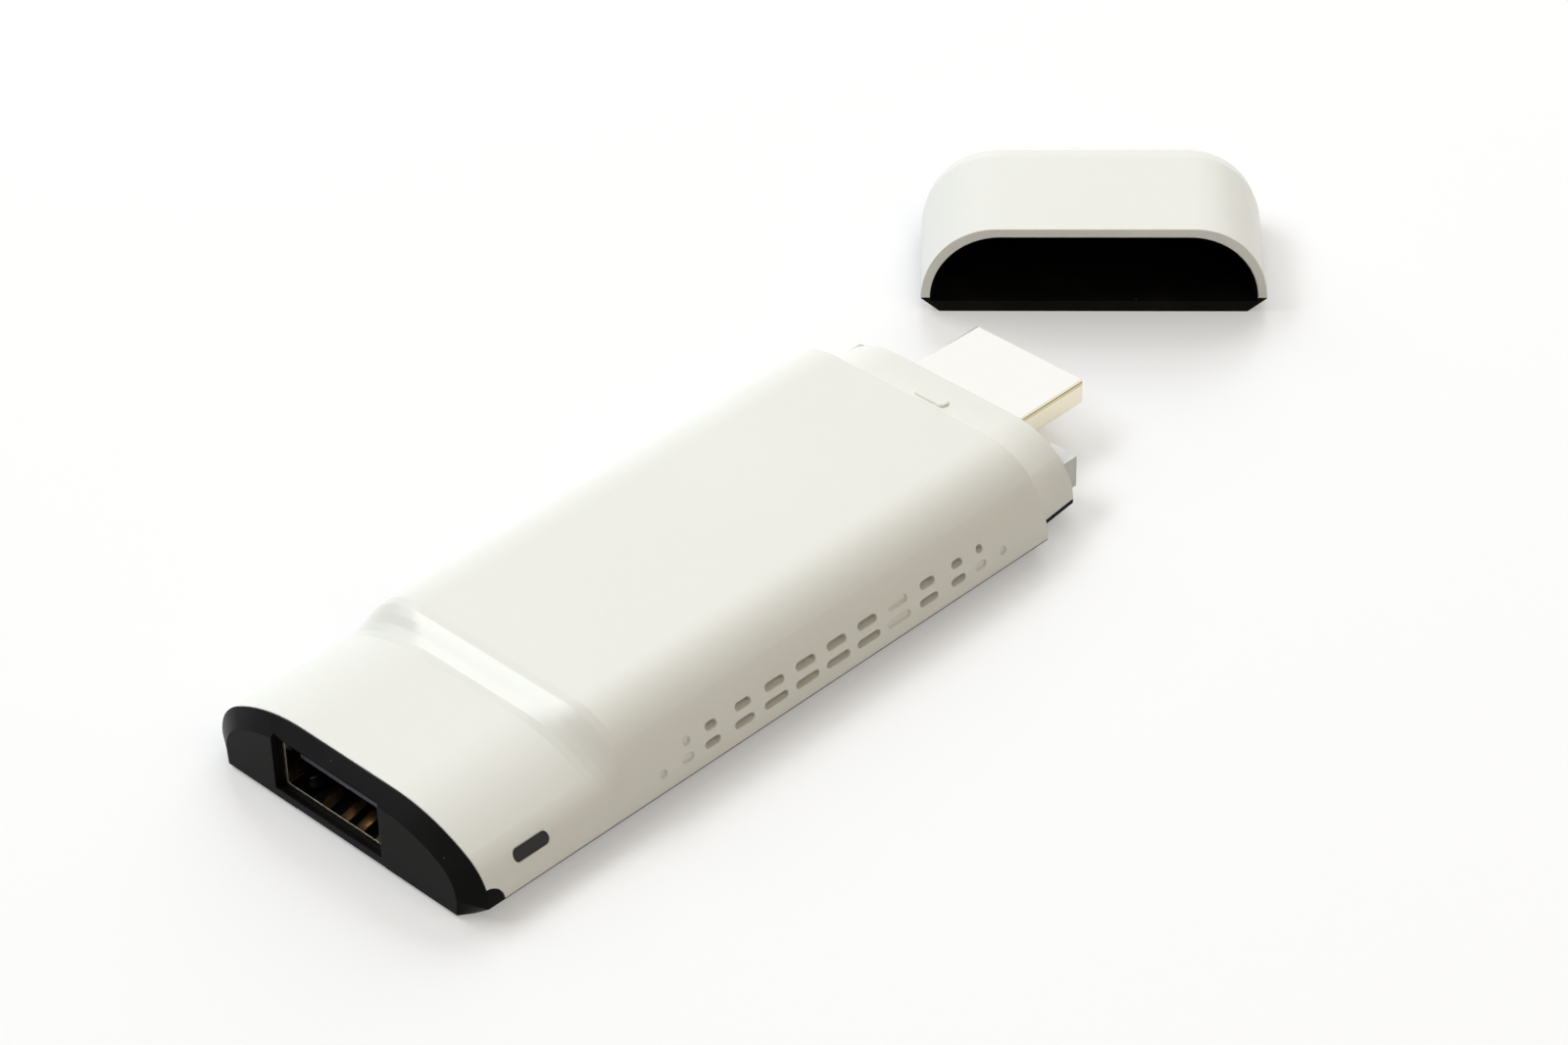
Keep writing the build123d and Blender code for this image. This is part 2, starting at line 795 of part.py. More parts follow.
def cap_shell():
    """White outer shell of the cap."""
    x0 = x_step + cap_gap
    shell = cap_form(0, 0, foot_half, x0, 0)
    shell &= box(x0 - wall, x_tip + half, -half, half, parting_height + seam, shell_height)
    shell -= cap_form(cap_wall, cap_floor - wall, half - cap_wall, x0 - wall, cap_wall)
    return cap_place() * shell


def cap_tray():
    """Black moulding of the cap: its base plate and the sleeve that lines the shell."""
    x0 = x_step + cap_gap
    base = cap_form(0, 0, foot_half, x0, 0) & box(x0 - wall, x_tip + half, -half, half, 0, parting_height)
    skin = cap_wall + cap_fit
    sleeve = cap_form(skin, cap_floor, half - skin, x0, skin)
    inner = cap_wall + cap_liner
    base = base + sleeve
    base -= cap_form(inner, cap_floor, half - inner, x0 - wall, inner)
    mouth = inner - cap_lead_depth
    base -= between([
        d_face(x0, half - mouth, half - mouth, cap_floor, parting_height, shell_height - mouth,
               corner_run - mouth / 2),
        d_face(x0 + cap_lead_length, half - inner, half - inner, cap_floor, parting_height,
               shell_height - inner, corner_run - inner / 2),
    ], ruled=True)
    groove_x = x_step + bump_from_step
    base -= box(groove_x - bump_width, groove_x + bump_width, -bump_length / 2 - cap_groove_depth * 2,
                bump_length / 2 + cap_groove_depth * 2, shell_height - inner - wall,
                shell_height - inner + cap_groove_depth)
    return cap_place() * base


def jack_bar(inset, y0, y1):
    """A bar along Y with the outline of the power jack: both lower corners cut away."""
    wide = jack_width / 2 - inset
    foot = wide - jack_slope
    low = board_top + inset
    high = board_top + jack_height - inset
    points = [(-foot, low), (foot, low), (wide, low + jack_slope), (wide, high), (-wide, high),
              (-wide, low + jack_slope)]
    outline = Plane.XZ.offset(-y1) * Pos(jack_x, 0) * make_face(Polyline(points + points[:1]))
    return extrude(outline, y1 - y0)


def power_jack_shell():
    """Folded steel shell of the small power jack, with a tab on each side."""
    back = jack_front - jack_depth
    shell = jack_bar(0, back, jack_front) - jack_bar(jack_sheet, back - wall, jack_front + wall)
    for side in (-1, 1):
        x0, x1 = sorted((jack_x + side * (jack_width / 2 - jack_sheet - jack_slope / 2),
                         jack_x + side * (jack_width / 2 + usb_tab_reach / 2)))
        shell += box(x0, x1, back + jack_lip, back + jack_lip + usb_tab_length, board_top,
                     board_top + jack_sheet)
    return shell


def jack_tongue_low():
    """Underside of the power jack's tongue."""
    return board_top + jack_height / 2


def power_jack_tongue():
    """Plastic back wall and tongue of the power jack."""
    back = jack_front - jack_depth
    x = jack_x
    block = jack_bar(jack_sheet, back, back + jack_back)
    low = jack_tongue_low()
    return block + box(x - jack_tongue_width / 2, x + jack_tongue_width / 2, back + jack_back,
                       jack_front - 2 * jack_lip, low, low + jack_tongue_thickness)


def power_jack_contacts():
    """Five contacts under the tongue of the power jack."""
    back = jack_front - jack_depth
    low = jack_tongue_low()
    contacts = []
    for i in range(jack_contact_count):
        x = jack_x + (i - (jack_contact_count - 1) / 2) * jack_contact_pitch
        contacts.append(box(x - jack_contact_width / 2, x + jack_contact_width / 2, back + jack_back,
                            jack_front - 3 * jack_lip, low - jack_sheet, low))
    return Compound(children=contacts)


def card_socket_box(inset, y0, y1, z0, z1):
    """A block as wide as the card socket, less an inset on each side."""
    wide = socket_width / 2 - inset
    return box(card_x - wide, card_x + wide, y0, y1, z0, z1)


def card_socket_cover():
    """Steel cover of the memory card socket, with a latch window."""
    back = socket_front - socket_depth
    top = board_top + socket_height
    cover = card_socket_box(0, back, socket_front, board_top, top)
    cover -= card_socket_box(socket_sheet, back - wall, socket_front + wall,
                             board_top - seam, top - socket_sheet)
    x = card_x + socket_width / 2 - socket_rail - socket_latch
    window = box(x, x + socket_latch, back + socket_back, back + socket_depth / 2, top - wall, top + wall)
    return cover - window


def card_socket_frame():
    """Plastic floor, side rails and back wall of the memory card socket."""
    back = socket_front - socket_depth
    top = board_top + socket_height - socket_sheet
    frame = card_socket_box(socket_sheet, back, socket_front, board_top, board_top + socket_floor)
    frame += card_socket_box(socket_sheet, back, back + socket_back, board_top, top)
    for side in (-1, 1):
        outer = card_x + side * (socket_width / 2 - socket_sheet)
        x0, x1 = sorted((outer, outer - side * socket_rail))
        frame += box(x0, x1, back, socket_front - socket_rail, board_top, top)
    return frame


def card_contacts():
    """Eight bowed contacts that rise from the floor of the memory card socket."""
    root = socket_front - socket_depth + socket_back
    tip = root + card_contact_length
    low = board_top + socket_floor
    crest = low + card_contact_rise
    middle = (root + tip) / 2
    sheet = card_contact_sheet
    bow = Polyline((root, low), (tip, low), (tip, low + sheet), (middle, crest + sheet), (root, low + sheet),
                   (root, low))
    contacts = []
    for i in range(card_contact_count):
        x = card_x + (i - (card_contact_count - 1) / 2) * card_contact_pitch
        face = Plane.YZ.offset(x - card_contact_width / 2) * make_face(bow)
        contacts.append(extrude(face, card_contact_width))
    return Compound(children=contacts)


def chip(x, y, length, width, low, height):
    """A block on the board, given by its middle."""
    return box(x - length / 2, x + length / 2, y - width / 2, y + width / 2, low, low + height)


def soc():
    """Main processor."""
    return chip(soc_x, soc_y, soc_size, soc_size, board_top, soc_height)


def thermal_pad():
    """Soft pad between the processor and its spreader."""
    return chip(soc_x, soc_y, pad_size, pad_size, board_top + soc_height, pad_height)


def heat_spreader():
    """Aluminium plate that spreads the processor's heat, with rounded corners."""
    plate = chip(soc_x, soc_y, spreader_length, spreader_width, board_top + soc_height + pad_height,
                 spreader_height)
    return fillet(plate.edges().filter_by(Axis.Z), board_corner)


def ram_chips():
    """Two memory chips side by side."""
    places = (ram_x, ram_x + ram_length + part_gap)
    return Compound(children=[chip(x, ram_y, ram_length, ram_width, board_top, ram_height) for x in places])


def flash_chip():
    """Storage chip on the underside of the board."""
    return chip(card_x, 0, flash_length, flash_width, board_low - flash_height, flash_height)


def power_chip():
    """Power regulator."""
    return chip(power_chip_x, usb_offset, power_chip_size, power_chip_size, board_top, power_chip_height)


def inductors():
    """Three shielded inductors in line with the power regulator."""
    beside = (power_chip_size + inductor_size + part_gap) / 2
    first = usb_offset - beside
    places = (first - inductor_size - part_gap / 2, first, usb_offset + beside)
    made = []
    for y in places:
        block = chip(power_chip_x, y, inductor_size, inductor_size, board_top, inductor_height)
        made.append(chamfer(block.edges().filter_by(Axis.Z), inductor_corner))
    return Compound(children=made)


def crystals():
    """Two metal-capped crystals, one by the processor and one by the radio."""
    places = (
        (soc_x - (soc_size - crystal_length) / 2, soc_y + (soc_size + part_gap + crystal_width) / 2),
        (wifi_x + (wifi_length - crystal_length) / 2, wifi_y - (wifi_width + part_gap + crystal_width) / 2),
    )
    made = []
    for x, y in places:
        block = chip(x, y, crystal_length, crystal_width, board_top, crystal_height)
        made.append(chamfer(block.edges().filter_by(Axis.Z), crystal_corner))
    return Compound(children=made)


def capacitors():
    """Small capacitors: a row along the -Y edge of the board and a column beside the memory."""
    y = -board_half_width + capacitor_width
    places = [(soc_x + (i - 1) * capacitor_pitch, y) for i in range(capacitors_in_row)]
    x = ram_x + 1.5 * ram_length + 2 * part_gap
    places += [(x, ram_y + i * capacitor_pitch) for i in range(capacitors_in_column)]
    return Compound(children=[
        chip(x, y, capacitor_length, capacitor_width, board_top, capacitor_height) for x, y in places])


def wifi_module():
    """Small board of the radio."""
    return chip(wifi_x, wifi_y, wifi_length, wifi_width, board_top, wifi_board_height)


def wifi_shield():
    """Pressed steel can over the radio."""
    low = board_top + wifi_board_height
    long = wifi_length - 2 * wifi_can_inset
    wide = wifi_width - 2 * wifi_can_inset
    can = chip(wifi_x, wifi_y, long, wide, low, wifi_can_height)
    can = chamfer(can.edges().filter_by(Axis.Z), wifi_can_inset)
    return can - chip(wifi_x, wifi_y, long - 2 * wifi_can_sheet, wide - 2 * wifi_can_sheet, low,
                      wifi_can_height - wifi_can_sheet)


def antenna():
    """Ceramic aerial beside the radio."""
    return chip(antenna_x, wifi_y - antenna_length / 2, antenna_width, antenna_length,
                board_top, antenna_height)


parts = {
    "top_cover": top_cover,
    "bottom_tray": bottom_tray,
    "nose_frame": nose_frame,
    "cap_shell": cap_shell,
    "cap_tray": cap_tray,
    "reset_button": reset_button,
    "switch_plunger": switch_plunger,
    "switch_body": switch_body,
    "main_board": main_board,
    "board_screws": board_screws,
    "usb_shell": usb_shell,
    "usb_tongue": usb_tongue,
    "usb_contacts": usb_contacts,
    "plug_shell": plug_shell,
    "plug_insulator": plug_insulator,
    "plug_contacts": plug_contacts,
    "power_jack_shell": power_jack_shell,
    "power_jack_tongue": power_jack_tongue,
    "power_jack_contacts": power_jack_contacts,
    "card_socket_cover": card_socket_cover,
    "card_socket_frame": card_socket_frame,
    "card_contacts": card_contacts,
    "soc": soc,
    "thermal_pad": thermal_pad,
    "heat_spreader": heat_spreader,
    "ram_chips": ram_chips,
    "flash_chip": flash_chip,
    "power_chip": power_chip,
    "inductors": inductors,
    "crystals": crystals,
    "capacitors": capacitors,
    "wifi_module": wifi_module,
    "wifi_shield": wifi_shield,
    "antenna": antenna,
}

os.makedirs("parts", exist_ok=True)
for name, make in parts.items():
    export_step(make(), f"parts/{name}.step")
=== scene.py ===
import math
import bpy
from mathutils import Matrix, Vector


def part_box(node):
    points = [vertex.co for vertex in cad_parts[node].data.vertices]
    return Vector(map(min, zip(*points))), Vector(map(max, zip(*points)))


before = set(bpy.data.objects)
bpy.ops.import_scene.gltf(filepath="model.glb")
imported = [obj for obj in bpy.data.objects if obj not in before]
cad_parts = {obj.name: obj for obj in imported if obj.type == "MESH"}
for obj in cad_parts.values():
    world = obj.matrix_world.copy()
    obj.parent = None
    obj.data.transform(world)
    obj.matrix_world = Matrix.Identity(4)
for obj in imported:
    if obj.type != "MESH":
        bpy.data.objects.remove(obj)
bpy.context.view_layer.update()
print("frame loaded,", len(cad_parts), "pieces")

mm = 0.001  # the frame is in metres, most sizes below are in millimetres
noiseMean = 0.5
edgeSamples = 8
mixShare, mixFirst, mixSecond, mixResult = 0, 6, 7, 2  # a Mix node's sockets when it mixes colours


# shader maths as plain expressions

class Wire:
    # one output socket of a material's tree
    def __init__(self, finish, socket):
        self.finish = finish
        self.socket = socket

    def calc(self, operation, *others):
        return self.finish.maths(operation, self, *others)

    def __add__(self, other):
        return self.calc("ADD", other)

    def __radd__(self, other):
        return self.calc("ADD", other)

    def __sub__(self, other):
        return self.calc("SUBTRACT", other)

    def __rsub__(self, other):
        return self.finish.maths("SUBTRACT", other, self)

    def __mul__(self, other):
        return self.calc("MULTIPLY", other)

    def __rmul__(self, other):
        return self.calc("MULTIPLY", other)

    def __gt__(self, other):
        return self.calc("GREATER_THAN", other)

    def __lt__(self, other):
        return self.calc("LESS_THAN", other)


class Finish:
    # a material: the constants go on the shader itself, the rest comes from nodes
    def __init__(self, name, **constants):
        self.material = bpy.data.materials.new(name)
        self.material.use_nodes = True
        self.tree = self.material.node_tree
        self.shader = self.tree.nodes["Principled BSDF"]
        for socket, value in constants.items():
            self.shader.inputs[socket.replace("_", " ")].default_value = value

    def node(self, kind, settings=None, inputs=None, out=0):
        made = self.tree.nodes.new("ShaderNode" + kind)
        for name, value in (settings or {}).items():
            setattr(made, name, value)
        for name, value in (inputs or {}).items():
            self.join(value, made.inputs[name])
        return Wire(self, made.outputs[out])

    def join(self, value, socket):
        if isinstance(value, Wire):
            self.tree.links.new(value.socket, socket)
        elif isinstance(value, tuple) and len(value) == 3 and socket.type == "RGBA":
            socket.default_value = value + (1.0,)
        else:
            socket.default_value = value

    def maths(self, operation, *values):
        return self.node("Math", {"operation": operation}, dict(enumerate(values)))

    def place(self):
        # where a point is on its piece, in millimetres
        where = self.node("TexCoord", out="Object")
        return self.node("VectorMath", {"operation": "SCALE"}, {0: where, "Scale": 1 / mm})

    def axis(self, name):
        return self.node("SeparateXYZ", None, {"Vector": self.place()}, out=name)

    def stretched(self, factors):
        return self.node("VectorMath", {"operation": "MULTIPLY"}, {0: self.place(), 1: factors})

    def noise(self, perMm, detail=2.0, rough=0.5, stretch=(1.0, 1.0, 1.0)):
        inputs = {"Vector": self.stretched(stretch), "Scale": perMm, "Detail": detail, "Roughness": rough}
        return self.node("TexNoise", None, inputs)

    def specks(self, perMm, size):
        # 1 on small round specks, 0 elsewhere
        cells = self.node("TexVoronoi", {"feature": "F1"}, {"Vector": self.place(), "Scale": perMm})
        return cells < size

    def fade(self, value, limits):
        # 0 below the first limit, 1 above the second
        low, high = limits
        inputs = {"Value": value, "From Min": low, "From Max": high, "To Min": 0.0, "To Max": 1.0}
        return self.node("MapRange", {"clamp": True}, inputs)

    def wander(self, centre, spread, noise):
        # a number that moves about its centre with a noise
        return centre + spread * (noise - noiseMean)

    def blend(self, share, first, second):
        inputs = {mixShare: share, mixFirst: first, mixSecond: second}
        return self.node("Mix", {"data_type": "RGBA"}, inputs, out=mixResult)

    def feed(self, **sockets):
        for name, value in sockets.items():
            self.join(value, self.shader.inputs[name.replace("_", " ")])

    def bump(self, height, depthMm, edgeMm):
        inputs = {"Height": height, "Distance": depthMm * mm}
        inputs["Normal"] = self.node("Bevel", {"samples": edgeSamples}, {"Radius": edgeMm * mm})
        self.feed(Normal=self.node("Bump", None, inputs))


def dress(finish, *nodes):
    for name in nodes:
        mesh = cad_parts[name].data
        mesh.materials.clear()
        mesh.materials.append(finish.material)


# white mouldings of the stick and the cap

whiteLook = {
    "colour": (0.807, 0.806, 0.750),
    "shade": (0.787, 0.784, 0.724),    # drifts over the plastic in wide patches
    "shadePerMm": 0.035,
    "shadeFade": (0.35, 0.70),
    "dust": (0.50, 0.46, 0.38),
    "dustShare": 0.7,
    "dustPerMm": 0.11,
    "dustSize": 0.010,
    "dustPatchPerMm": 0.2,             # the specks show only in some patches
    "dustPatchFade": (0.52, 0.58),
    "roughness": 0.31,
    "roughnessSpread": 0.04,
    "smearPerMm": 0.10,
    "smearStretch": (0.6, 1.0, 1.0),
    "peelPerMm": 0.35,                 # faint waves of the moulded surface
    "peelMm": 0.0016,
    "edgeMm": 0.20,
    "gloss": 0.5,
    "coat": 0.20,
    "coatRoughness": 0.22,
    "glow": 0.06,                      # light that goes a little way into the plastic
    "glowMm": 2.0,
}


def whitePlastic(name):
    look = whiteLook
    paint = Finish(name, Specular_IOR_Level=look["gloss"], Subsurface_Weight=look["glow"],
                   Subsurface_Scale=look["glowMm"] * mm, Coat_Weight=look["coat"],
                   Coat_Roughness=look["coatRoughness"])
    shade = paint.fade(paint.noise(look["shadePerMm"], detail=1.0), look["shadeFade"])
    colour = paint.blend(shade, look["colour"], look["shade"])
    specks = paint.specks(look["dustPerMm"], look["dustSize"])
    specks = specks * paint.fade(paint.noise(look["dustPatchPerMm"]), look["dustPatchFade"])
    paint.feed(Base_Color=paint.blend(look["dustShare"] * specks, colour, look["dust"]))
    smear = paint.noise(look["smearPerMm"], detail=3.0, rough=0.6, stretch=look["smearStretch"])
    paint.feed(Roughness=paint.wander(look["roughness"], look["roughnessSpread"], smear))
    paint.bump(paint.noise(look["peelPerMm"], detail=1.0), look["peelMm"], look["edgeMm"])
    return paint


# black mouldings

blackLook = {
    "colour": (0.0042, 0.0041, 0.0039),
    "worn": (0.0070, 0.0069, 0.0065),
    "wornPerMm": 0.25,
    "wornFade": (0.4, 0.7),
    "dust": (0.11, 0.11, 0.10),
    "dustPerMm": 0.45,
    "dustSize": 0.035,
    "dustPatchPerMm": 0.3,
    "dustPatchFade": (0.52, 0.60),
    "roughness": 0.38,
    "roughnessSpread": 0.16,
    "grainPerMm": 9.0,                 # the fine spark-eroded grain of the tray
    "grainMm": 0.004,
    "edgeMm": 0.12,
    "gloss": 0.05,
}


def blackPlastic(name):
    look = blackLook
    paint = Finish(name, Specular_IOR_Level=look["gloss"])
    cloud = paint.noise(look["wornPerMm"], detail=3.0)
    colour = paint.blend(paint.fade(cloud, look["wornFade"]), look["colour"], look["worn"])
    specks = paint.specks(look["dustPerMm"], look["dustSize"])
    specks = specks * paint.fade(paint.noise(look["dustPatchPerMm"]), look["dustPatchFade"])
    paint.feed(Base_Color=paint.blend(specks, colour, look["dust"]))
    paint.feed(Roughness=paint.wander(look["roughness"], look["roughnessSpread"], cloud))
    paint.bump(paint.noise(look["grainPerMm"]), look["grainMm"], look["edgeMm"])
    return paint


# metals: each is brushed or drawn along the axis in which its grain is stretched

metalLooks = {
    # plug plating: the top is painted near white, a painted highlight, and the sides a darker cream,
    # painted shade
    "plug plating with painted highlight": {"colour": (0.98, 0.97, 0.93), "dull": (0.97, 0.955, 0.90), "roughness": 0.20,
                     "grain": (0.05, 1.0, 1.0), "grainPerMm": 6.0, "grainMm": 0.0012,
                     "side": (0.84, 0.78, 0.61), "paintedHighlightFadeMm": (0.06, 0.14),
                     "seam": (0.30, 0.25, 0.15), "seamMm": (0.26, 0.40)},
    # socket plating: painted darker than its gold, painted shade for the inside of the port; the plain
    # colour shows only on the cut rim, painted darker still as shade
    "socket plating in painted shade": {"colour": (0.44, 0.39, 0.30), "dull": (0.38, 0.33, 0.25), "roughness": 0.28,
                       "grain": (0.1, 1.0, 1.0), "grainPerMm": 5.0, "grainMm": 0.001,
                       "bore": (0.56, 0.50, 0.42), "boreRoughness": 0.05, "rimMm": 0.04},
    "contact plating": {"colour": (0.93, 0.79, 0.62), "dull": (0.82, 0.66, 0.48), "roughness": 0.22,
                        "grain": (0.1, 1.0, 1.0), "grainPerMm": 8.0, "grainMm": 0.001},
    "plain steel": {"colour": (0.62, 0.62, 0.61), "dull": (0.48, 0.48, 0.47), "roughness": 0.34,
                    "grain": (0.05, 1.0, 1.0), "grainPerMm": 6.0, "grainMm": 0.0015},
    "soft aluminium": {"colour": (0.78, 0.79, 0.80), "dull": (0.66, 0.67, 0.68), "roughness": 0.42,
                       "grain": (1.0, 0.05, 1.0), "grainPerMm": 4.0, "grainMm": 0.002},
}
metalWear = {
    "patchPerMm": 0.35,
    "dullFade": (0.4, 0.75),
    "patchRoughness": 0.14,
    "grainRoughness": 0.10,
    "edgeMm": 0.05,
}


def metal(name):
    look = metalLooks[name]
    paint = Finish(name, Metallic=1.0)
    patch = paint.noise(metalWear["patchPerMm"], detail=3.0)
    colour = paint.blend(paint.fade(patch, metalWear["dullFade"]), look["colour"], look["dull"])
    grain = paint.noise(look["grainPerMm"], detail=3.0, stretch=look["grain"])
    roughness = paint.wander(look["roughness"], metalWear["patchRoughness"], patch)
    roughness = paint.wander(roughness, metalWear["grainRoughness"], grain)
    if "bore" in look:
        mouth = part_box("usb_shell")[0][0] / mm
        # the cut rim keeps the darker colour, painted shade; the bore behind it gets a paler but still
        # dimmed gold, painted shade inside the port, and is polished
        deep = paint.axis("X") - mouth > look["rimMm"]  # behind the cut rim the bore is polished
        colour = paint.blend(deep, colour, look["bore"])
        roughness = roughness * (1.0 - deep) + look["boreRoughness"] * deep
        grain = grain * (1.0 - deep)
    if "seam" in look:
        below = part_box("plug_shell")[1][2] / mm - paint.axis("Z")
        # painted highlight on the top, fading down the sides into the darker cream of painted shade
        colour = paint.blend(paint.fade(below, look["paintedHighlightFadeMm"]), colour, look["side"])
        seam = (below > look["seamMm"][0]) * (below < look["seamMm"][1])  # where the folded sheet closes
        colour = paint.blend(seam, colour, look["seam"])
    paint.feed(Base_Color=colour, Roughness=roughness)
    paint.bump(grain, look["grainMm"], metalWear["edgeMm"])
    return paint


# small mouldings, boards and chips: two tones that cloud into each other

plainLooks = {
    "pale frame": {"colour": (0.66, 0.665, 0.64), "second": (0.58, 0.585, 0.56), "roughness": 0.34,
                   "cloudPerMm": 0.5, "grainPerMm": 3.0, "grainMm": 0.003},
    "charcoal button": {"colour": (0.008, 0.0075, 0.0055), "second": (0.012, 0.0115, 0.0085),
                        "roughness": 0.48, "cloudPerMm": 0.9, "grainPerMm": 7.0, "grainMm": 0.006},
    "tongue plastic": {"colour": (0.012, 0.016, 0.032), "second": (0.020, 0.026, 0.045), "roughness": 0.40,
                       "cloudPerMm": 0.8, "grainPerMm": 6.0, "grainMm": 0.003},
    "connector plastic": {"colour": (0.012, 0.012, 0.012), "second": (0.022, 0.022, 0.021),
                          "roughness": 0.45, "cloudPerMm": 0.8, "grainPerMm": 6.0, "grainMm": 0.003},
    "chip epoxy": {"colour": (0.018, 0.018, 0.020), "second": (0.030, 0.030, 0.032), "roughness": 0.55,
                   "cloudPerMm": 1.2, "grainPerMm": 12.0, "grainMm": 0.004},
    "solder mask": {"colour": (0.010, 0.085, 0.030), "second": (0.016, 0.125, 0.045), "roughness": 0.30,
                    "cloudPerMm": 0.9, "grainPerMm": 2.0, "grainMm": 0.010},
    "radio mask": {"colour": (0.010, 0.040, 0.080), "second": (0.016, 0.060, 0.110), "roughness": 0.30,
                   "cloudPerMm": 0.9, "grainPerMm": 2.0, "grainMm": 0.010},
    "heat pad": {"colour": (0.30, 0.37, 0.46), "second": (0.36, 0.43, 0.52), "roughness": 0.75,
                 "cloudPerMm": 0.6, "grainPerMm": 1.5, "grainMm": 0.03},
    "ferrite": {"colour": (0.055, 0.055, 0.060), "second": (0.085, 0.085, 0.090), "roughness": 0.60,
                "cloudPerMm": 1.5, "grainPerMm": 8.0, "grainMm": 0.01},
    "fired ceramic": {"colour": (0.52, 0.38, 0.25), "second": (0.62, 0.47, 0.33), "roughness": 0.50,
                      "cloudPerMm": 2.0, "grainPerMm": 8.0, "grainMm": 0.005},
}
plainWear = {
    "cloudFade": (0.35, 0.70),
    "roughnessSpread": 0.15,
    "edgeMm": 0.06,
    "gloss": 0.35,
}


def plain(name):
    look = plainLooks[name]
    paint = Finish(name, Specular_IOR_Level=plainWear["gloss"])
    cloud = paint.noise(look["cloudPerMm"], detail=4.0)
    share = paint.fade(cloud, plainWear["cloudFade"])
    paint.feed(Base_Color=paint.blend(share, look["colour"], look["second"]))
    paint.feed(Roughness=paint.wander(look["roughness"], plainWear["roughnessSpread"], cloud))
    paint.bump(paint.noise(look["grainPerMm"]), look["grainMm"], plainWear["edgeMm"])
    return paint


dress(whitePlastic("gloss white"), "top_cover", "cap_shell")
dress(blackPlastic("satin black"), "bottom_tray", "cap_tray")
dress(plain("pale frame"), "nose_frame")
dress(plain("charcoal button"), "reset_button")
dress(metal("plug plating with painted highlight"), "plug_shell")
dress(metal("socket plating in painted shade"), "usb_shell")
dress(metal("contact plating"), "usb_contacts", "plug_contacts", "power_jack_contacts", "card_contacts")
dress(metal("plain steel"), "board_screws", "power_jack_shell", "card_socket_cover", "crystals",
      "wifi_shield")
dress(metal("soft aluminium"), "heat_spreader")
dress(plain("tongue plastic"), "usb_tongue")
dress(plain("connector plastic"), "plug_insulator", "power_jack_tongue", "card_socket_frame",
      "switch_body", "switch_plunger")
dress(plain("chip epoxy"), "soc", "ram_chips", "flash_chip", "power_chip")
dress(plain("solder mask"), "main_board")
dress(plain("radio mask"), "wifi_module")
dress(plain("heat pad"), "thermal_pad")
dress(plain("ferrite"), "inductors")
dress(plain("fired ceramic"), "capacitors", "antenna")
print("finishes set:", len(bpy.data.materials))


# floor, light and camera, in metres

floorLook = {
    "size": 6.0,
    "colour": (0.640, 0.637, 0.632),
    "second": (0.630, 0.627, 0.622),
    "cloudPerMm": 0.01,
    "roughness": 0.22,
    "roughnessSpread": 0.05,
    "gloss": 0.30,
    "unseen": (0.0, 0.0, 0.0),
    "seen": (0.310, 0.311, 0.308),     # shown to the camera and in reflections, never cast on the object
}


def makeFloor():
    look = floorLook
    bpy.ops.mesh.primitive_plane_add(size=look["size"], location=(0.0, 0.0, 0.0))
    floor = bpy.context.object
    floor.name = "floor"
    paint = Finish("white table", Specular_IOR_Level=look["gloss"], Emission_Strength=1.0)
    cloud = paint.noise(look["cloudPerMm"])
    paint.feed(Base_Color=paint.blend(cloud, look["colour"], look["second"]))
    paint.feed(Roughness=paint.wander(look["roughness"], look["roughnessSpread"], cloud))
    looked = paint.node("LightPath", out="Is Camera Ray") + paint.node("LightPath", out="Is Glossy Ray")
    looked = looked + paint.node("LightPath", out="Is Transmission Ray")
    paint.feed(Emission_Color=paint.blend(looked, look["unseen"], look["seen"]))
    floor.data.materials.append(paint.material)


coolWhite = (0.95, 0.99, 1.04)
warmWhite = (1.0, 0.86, 0.67)
lampLooks = {
    "back box": {"place": (1.75, 1.05, 1.22), "size": (2.2, 2.2), "watts": 37.0,
                 "colour": coolWhite, "gloss": False},
    "top box": {"place": (-0.55, 1.30, 1.75), "size": (2.0, 0.6), "watts": 27.5,
                "colour": coolWhite, "gloss": True},    # mirrored by the ramp
    "far box": {"place": (-0.20, 1.95, 1.15), "size": (0.8, 0.9), "watts": 6.0,
                "colour": coolWhite, "gloss": True},    # carries that on round the ramp's far end
    "low box": {"place": (0.05, -1.40, 1.42), "size": (1.6, 1.6), "watts": 10.5,
                "colour": warmWhite, "gloss": False},
}
lampTarget = (0.01, 0.0, 0.0)
worldLook = {"fill": (0.200, 0.191, 0.177), "seen": (1.0, 1.0, 1.0), "mirrored": (0.98, 0.98, 0.98)}


def makeLamps():
    for name, look in lampLooks.items():
        lamp = bpy.data.lights.new(name, "AREA")
        lamp.shape = "RECTANGLE"
        lamp.size, lamp.size_y = look["size"]
        lamp.energy = look["watts"]
        lamp.color = look["colour"]
        holder = bpy.data.objects.new(name, lamp)
        holder.location = look["place"]
        holder.visible_glossy = look["gloss"]
        aim = Vector(lampTarget) - holder.location
        holder.rotation_euler = aim.to_track_quat("-Z", "Y").to_euler()
        bpy.context.scene.collection.objects.link(holder)


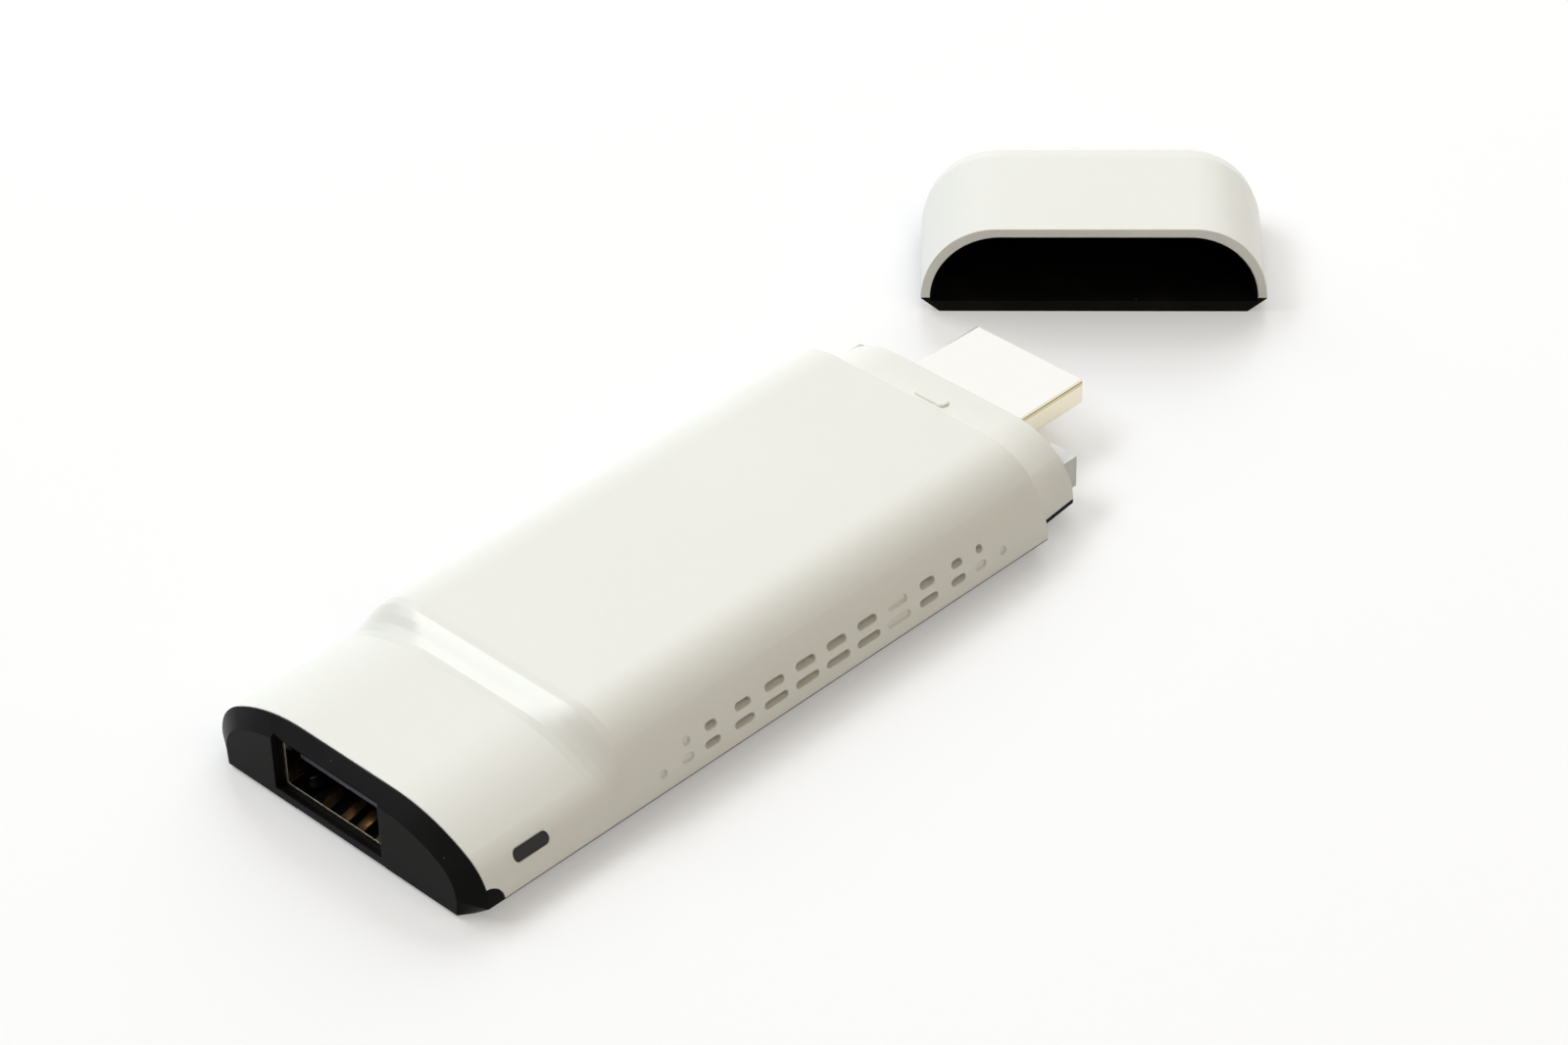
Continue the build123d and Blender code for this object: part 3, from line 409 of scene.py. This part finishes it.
def makeWorld():
    world = bpy.data.worlds.new("studio")
    world.use_nodes = True
    bpy.context.scene.world = world
    tree = world.node_tree
    path = tree.nodes.new("ShaderNodeLightPath")
    before = None
    rays = (("Is Glossy Ray", "mirrored"), ("Is Transmission Ray", "seen"), ("Is Camera Ray", "seen"))
    for ray, colour in rays:
        mix = tree.nodes.new("ShaderNodeMix")
        mix.data_type = "RGBA"
        mix.inputs[mixFirst].default_value = worldLook["fill"] + (1.0,)
        mix.inputs[mixSecond].default_value = worldLook[colour] + (1.0,)
        tree.links.new(path.outputs[ray], mix.inputs[mixShare])
        if before:
            tree.links.new(before, mix.inputs[mixFirst])
        before = mix.outputs[mixResult]
    tree.links.new(before, tree.nodes["Background"].inputs["Color"])


cameraLook = {
    "image": (1600, 1066),
    "sensor": 36.0,
    "lens": 102.601,
    "clipStart": 0.01,
    "aim": (8.6, 0.0, 5.0),            # a point of the stick, in millimetres
    "aimPixel": (719.63, 576.86),      # where that point is in the image
    "distance": 410.58,                # in millimetres too
    "azimuth": -45.04,
    "elevation": 36.36,
    "roll": -1.4015,
}


def makeCamera():
    look = cameraLook
    width, height = look["image"]
    pixels = look["lens"] / look["sensor"] * width
    azimuth = math.radians(look["azimuth"])
    elevation = math.radians(look["elevation"])
    roll = math.radians(look["roll"])
    back = Vector((math.sin(azimuth) * math.cos(elevation), -math.cos(azimuth) * math.cos(elevation),
                   math.sin(elevation)))
    level = Vector((0.0, 0.0, 1.0)).cross(back).normalized()
    upright = back.cross(level)
    right = level * math.cos(roll) + upright * math.sin(roll)
    up = upright * math.cos(roll) - level * math.sin(roll)
    perPixel = look["distance"] / pixels
    spot = Vector(look["aim"]) + back * look["distance"]
    spot -= right * (look["aimPixel"][0] - width / 2) * perPixel
    spot += up * (look["aimPixel"][1] - height / 2) * perPixel
    lens = bpy.data.cameras.new("view")
    lens.sensor_width = look["sensor"]
    lens.lens = look["lens"]
    lens.clip_start = look["clipStart"]
    camera = bpy.data.objects.new("view", lens)
    turn = Matrix((right, up, back)).transposed().to_4x4()
    camera.matrix_world = Matrix.Translation(spot * mm) @ turn
    bpy.context.scene.collection.objects.link(camera)
    bpy.context.scene.camera = camera


makeFloor()
makeLamps()
makeWorld()
makeCamera()
bpy.context.scene.view_settings.view_transform = "Standard"
print("stage, lamps and camera set")
